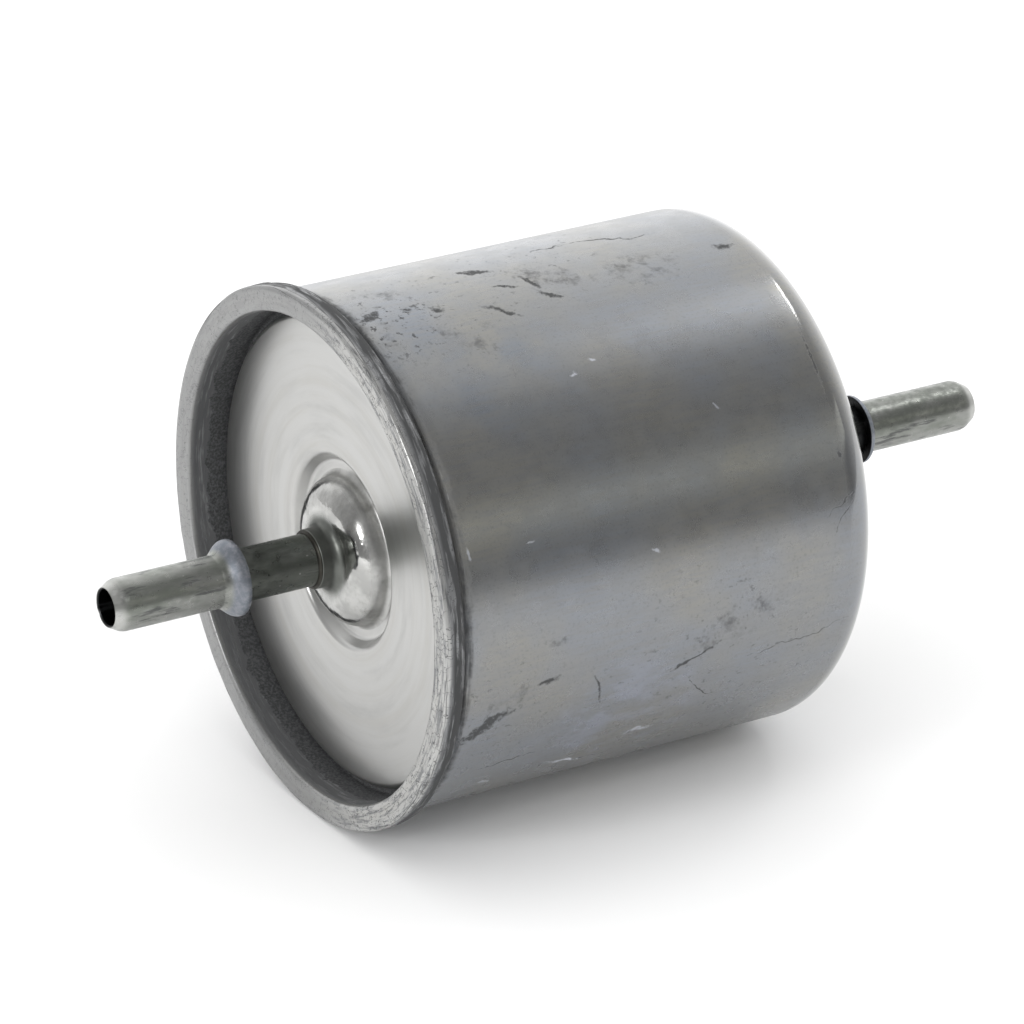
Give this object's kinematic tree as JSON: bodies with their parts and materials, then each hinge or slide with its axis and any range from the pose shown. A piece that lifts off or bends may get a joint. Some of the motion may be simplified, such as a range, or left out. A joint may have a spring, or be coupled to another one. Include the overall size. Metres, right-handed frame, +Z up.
{
  "type": "fuel filter",
  "caption": "In-line fuel filter: a seamed steel canister with a beaded tube at each end and a pleated paper element sprung inside.",
  "frame": {"origin": "on the filter's axis, within 1 mm of the middle of the 64.9 mm of straight wall that a strap clamp holds", "axes": "+X along the filter's axis from the inlet (seamed cover) to the outlet (drawn end), +Z up"},
  "size_m": [0.1504, 0.0824, 0.0824],
  "materials": {
    "canister_steel": "satin zinc-plated steel, scuffed",
    "cover_steel": "satin light grey plated steel",
    "tube_steel": "drawn steel tube, dull with a worn tip",
    "boss_steel": "polished",
    "braze": "dull",
    "inner_steel": "tinned sheet",
    "spring_steel": "oiled spring wire",
    "filter_paper": "matte, resin-cured",
    "strainer_cloth": "woven",
    "adhesive": "matte",
    "compound": "matte",
    "seal_rubber": "matte"
  },
  "bodies": {
    "housing": {"canister": "canister_steel", "end_cover": "cover_steel", "seam_compound": "compound", "inlet_tube": "tube_steel", "inlet_boss": "boss_steel", "inlet_braze_ring": "braze", "outlet_tube": "tube_steel", "outlet_boss": "boss_steel", "outlet_braze_ring": "braze", "support_plate": "inner_steel", "support_spring": "spring_steel"},
    "element": {"filter_media": "filter_paper", "inlet_end_cap": "inner_steel", "outlet_end_cap": "inner_steel", "centre_tube": "inner_steel", "lint_strainer": "strainer_cloth", "inlet_cap_adhesive": "adhesive", "outlet_cap_adhesive": "adhesive", "pleat_seam_clip": "inner_steel", "element_seal": "seal_rubber"}
  },
  "joints": [
    {"name": "element_float", "type": "slide", "parent": "housing", "child": "element", "axis": [-1, 0, 0], "range_m": [0, 0.0015], "stiffness_N_per_m": 4000, "springref_m": -0.001, "deforming": ["support_spring"]}
  ]
}
